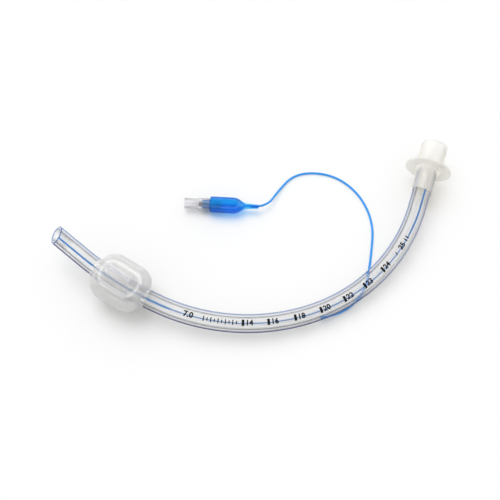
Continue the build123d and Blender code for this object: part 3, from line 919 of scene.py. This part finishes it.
def make_balloon_piece(material):
    """The pilot balloon turned round the pilot axis.

    Its corners run from the sleeve over the blown body and the taper to the neck, and back inside.
    """
    sleeve_r, sleeve_bore_r, body_r, body_inner_r, bore_r = 2.55, 2.25, 4.65, 4.3, 0.66
    sleeve_start, body_start, body_end, neck_end = 10.3, 14.4, 29.8, 42.4
    corners = (
        (sleeve_r, sleeve_start, 0.1),
        (sleeve_r, body_start, 0.3),
        (body_r, body_start, 1.7),
        (body_r, body_end, 1.9),
        (1.6, 34.6, 1.4),
        (1.15, neck_end, 0.2),
        (bore_r, neck_end, 0.1),
        (bore_r, 34.4, 0.15),
        (1.0, 34.2, 0.5),
        (body_inner_r, 29.6, 1.6),
        (body_inner_r, 14.75, 1.4),
        (sleeve_bore_r, 14.75, 0.2),
        (sleeve_bore_r, sleeve_start, 0.05),
    )
    return turned_piece("pilot_balloon_film", rounded_profile(corners), pilot_point, 96, material)


def make_line_piece(material):
    """The inflation line: one smooth curve through the part's own points, with a round section."""
    curve = bpy.data.curves.new("inflation_line_tube", "CURVE")
    curve.dimensions = "3D"
    curve.resolution_u = 16
    curve.bevel_depth = LINE_R * MM
    curve.bevel_resolution = 5
    curve.use_fill_caps = True
    spline = curve.splines.new("NURBS")
    spline.points.add(len(LINE_POINTS) - 1)
    points = np.array([(x * MM, y * MM, z * MM, 1.0) for x, y, z in LINE_POINTS])
    spline.points.foreach_set("co", points.ravel())
    spline.order_u = 3
    spline.use_endpoint_u = True
    curve.materials.append(material)
    return linked("inflation_line_tube", curve)


# Add-on


class TubeSettings(bpy.types.PropertyGroup):
    """What a user would change: the blues of the parts, the print's sizes, and the light and view."""

    stripe_colour: FloatVectorProperty(
        name="Stripe",
        description="Colour of the X-ray-dense stripe in the tube's wall",
        subtype="COLOR",
        default=linear("#0078C8")[:3],
        min=0.0,
        max=1.0,
    )
    line_colour: FloatVectorProperty(
        name="Inflation Line",
        description="Colour of the inflation line's PVC",
        subtype="COLOR",
        default=linear("#089CF6")[:3],
        min=0.0,
        max=1.0,
    )
    balloon_colour: FloatVectorProperty(
        name="Pilot Balloon",
        description="Colour of the pilot balloon's film",
        subtype="COLOR",
        default=linear("#18C0F4")[:3],
        min=0.0,
        max=1.0,
    )
    numeral_height: FloatProperty(
        name="Numeral Height",
        description="Height of the depth scale's numerals",
        default=0.0029,
        min=0.001,
        unit="LENGTH",
    )
    bar_width: FloatProperty(
        name="Bar Width",
        description="Width of the depth scale's bars round the tube",
        default=0.0034,
        min=0.001,
        unit="LENGTH",
    )
    key_strength: FloatProperty(
        name="Key Light", description="Strength of the window light over the table", default=1.8, min=0.0
    )
    world_strength: FloatProperty(
        name="Room Light", description="Strength of the even light from the room", default=0.57, min=0.0
    )
    lens: FloatProperty(
        name="Lens", description="Focal length of the camera", default=CAMERA_LENS, min=10.0, unit="CAMERA"
    )


class TUBE_OT_stage(bpy.types.Operator):
    """Sets up the camera, the lights and the white table"""

    bl_idname = "tube.stage"
    bl_label = "Stage"

    def execute(self, context):
        settings = context.scene.tracheal_tube
        scene = context.scene
        camera = linked("camera", bpy.data.cameras.new("camera"))
        camera.data.lens = settings.lens
        camera.data.sensor_width = 36.0
        camera.data.clip_start = 0.01
        camera.location = Vector(CAMERA_PLACE) * MM
        aim = Vector(CAMERA_AIM) * MM - camera.location
        camera.rotation_euler = aim.to_track_quat("-Z", "Y").to_euler()
        scene.camera = camera

        sun = linked("window_light", bpy.data.lights.new("window_light", "SUN"))
        sun.data.energy = settings.key_strength
        sun.data.angle = math.radians(WINDOW_SPREAD)
        sun.visible_glossy = False
        sun.rotation_euler = Vector(WINDOW_WAY).to_track_quat("-Z", "Y").to_euler()

        scene.world = room_light(settings.world_strength)

        # The table lies a hair below the faces that touch it
        reach, drop = 3.0, 2e-5
        flat = ((-reach, -reach), (reach, -reach), (reach, reach), (-reach, reach))
        floor = bpy.data.meshes.new("table")
        floor.from_pydata([(x, y, -drop) for x, y in flat], [], [(0, 1, 2, 3)])
        floor.materials.append(table_top())
        table = linked("table", floor)
        scene.view_settings.view_transform = "Standard"
        scene.cycles.caustics_reflective = False
        scene.cycles.caustics_refractive = False
        scene.cycles.transparent_max_bounces = 24
        scene.cycles.max_bounces = 20
        scene.cycles.transmission_bounces = 20
        return {"FINISHED"}


class TUBE_OT_line(bpy.types.Operator):
    bl_idname = "tube.line"
    bl_label = "Inflation Line"

    def execute(self, context):
        settings = context.scene.tracheal_tube
        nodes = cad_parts
        line = make_line_piece(line_vinyl(settings.line_colour))
        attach(line, "root")
        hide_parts("inflation_line")
        balloon = make_balloon_piece(balloon_film(settings.balloon_colour))
        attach(balloon, "root")
        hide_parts("pilot_balloon")
        housing = make_housing_piece(clear_housing())
        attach(housing, "root")
        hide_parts("valve_housing")
        finishes = {
            "valve_stem": ivory_plastic("moulded_natural_acetal", "#FCFBFA", 0.7, 0.6, "#EAE8E5"),
            "spring_cap": moulded_part("moulded_beige_acetal", "#C4B8A8", "#D3C8B9", 0.4, 1.0),
            "valve_seal": moulded_part("moulded_brown_rubber", "#74686A", "#857A79", 0.6, 0.8),
            "spring_retainer": moulded_part("moulded_pale_acetal", "#C9CCD2", "#D8DADF", 0.4, 1.0),
            "valve_spring": spring_wire(),
        }
        for name, material in finishes.items():
            nodes[name].data.materials.clear()
            nodes[name].data.materials.append(material)
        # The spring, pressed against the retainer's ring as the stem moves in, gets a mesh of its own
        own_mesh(nodes["valve_spring"])
        return {"FINISHED"}


class TUBE_OT_tube(bpy.types.Operator):
    """Builds the clear tube with its bevelled end, and the stripe in its wall"""

    bl_idname = "tube.tube"
    bl_label = "Tube"

    def execute(self, context):
        # Edge tones round and along each wall are painted shade and painted light
        outside = clear_vinyl("clear_pvc_painted_shade", 0.985, 0.6, (0.33, 0.6), "#B8C6E0", "#1C5CA8", "#C0C8DA")
        bore = clear_vinyl("bore_pvc_painted_shade", 0.86, 0.0, (0.25, 0.75), "#9A9DA7", "#AAABB1", "#F6F6F5")
        # The mouth's material is greyer all round: painted shade inside the lumen
        mouth = clear_vinyl("bore_mouth_painted_shade", 0.72, 0.0, (0.0, 0.7), "#AEB0B8", "#B0B2BA", "#B0B2BA")
        tube = tube_wall((outside, rounded_rim(), cut_face(), bore, mouth))
        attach(tube, "root")
        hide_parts("tube_shaft", "channel_plug")
        stripe = stripe_in_wall(stripe_vinyl(context.scene.tracheal_tube.stripe_colour))
        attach(stripe, "root")
        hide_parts("xray_stripe")
        return {"FINISHED"}


class TUBE_OT_print(bpy.types.Operator):
    """Prints the size, plain ticks, and the depth scale's bars and numerals"""

    bl_idname = "tube.print"
    bl_label = "Print"

    def execute(self, context):
        settings = context.scene.tracheal_tube
        height, bar_width = settings.numeral_height / MM, settings.bar_width / MM
        ink = print_ink()
        shapes = []
        for text, place in zip(SCALE_NUMERALS, SCALE_PLACES):
            shapes.append((f"bar_{text}", flat_bar(BAR_LENGTH, bar_width), place))
            shapes.append((f"numeral_{text}", numeral(text, height), place + NUMERAL_STEP))
        shapes.append(("size_numeral", numeral("7.0", SIZE_NUMERAL_HEIGHT), SIZE_NUMERAL_PLACE))
        shapes.append(("numeral_25", numeral("25", height), LAST_NUMERAL_PLACE))
        for number, width in enumerate(TICK_WIDTHS):
            shapes.append((f"tick_{number}", flat_bar(TICK_LENGTH, width), TICK_START + TICK_STEP * number))
        for number, (place, width) in enumerate(END_TICKS):
            shapes.append((f"end_tick_{number}", flat_bar(END_TICK_LENGTH, width), place))
        for name, flat, place in shapes:
            piece = printed_shape(name, flat, place, ink)
            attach(piece, "root")
        return {"FINISHED"}


class TUBE_OT_cuff(bpy.types.Operator):
    """Builds the inflated cuff film with a collar at each end"""

    bl_idname = "tube.cuff"
    bl_label = "Cuff"

    def execute(self, context):
        cuff = make_cuff_piece(cuff_film())
        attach(cuff, "root")
        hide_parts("cuff")
        return {"FINISHED"}


class TUBE_OT_connector(bpy.types.Operator):
    """Builds the moulded connector with its cone, flange, boss, socket and spigot"""

    bl_idname = "tube.connector"
    bl_label = "Connector"

    def execute(self, context):
        thick = ivory_plastic("moulded_natural_pp", "#FFFEFC", 0.62, 0.6, "#FCF8EF")
        thin = ivory_plastic("thin_natural_pp", "#FEFEFE", 0.86, 0.2, "#E8E7E6")
        connector = make_connector_piece(thick, thin)
        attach(connector, "root")
        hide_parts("connector")
        return {"FINISHED"}


class TUBE_PT_panel(bpy.types.Panel):
    """Lists the tube's pieces in the order they are built"""

    bl_label = "Tracheal Tube"
    bl_idname = "TUBE_PT_panel"
    bl_space_type = "VIEW_3D"
    bl_region_type = "UI"
    bl_category = "Tracheal Tube"

    def draw(self, context):
        settings = context.scene.tracheal_tube
        for name in TubeSettings.__annotations__:
            self.layout.prop(settings, name)
        for operator in OPERATORS:
            self.layout.operator(operator.bl_idname)


OPERATORS = (TUBE_OT_stage, TUBE_OT_line, TUBE_OT_tube, TUBE_OT_print, TUBE_OT_cuff, TUBE_OT_connector)
CLASSES = (TubeSettings, *OPERATORS, TUBE_PT_panel)


def register():
    """Registers the classes and the scene's settings."""
    for cls in CLASSES:
        bpy.utils.register_class(cls)
    bpy.types.Scene.tracheal_tube = PointerProperty(type=TubeSettings)


def unregister():
    """Takes the settings and classes away again."""
    del bpy.types.Scene.tracheal_tube
    for cls in reversed(CLASSES):
        bpy.utils.unregister_class(cls)


def main():
    """Builds everything."""
    register()
    bpy.ops.tube.stage()
    bpy.ops.tube.line()
    bpy.ops.tube.tube()
    bpy.ops.tube.print()
    bpy.ops.tube.cuff()
    bpy.ops.tube.connector()


if __name__ == "__main__":
    main()
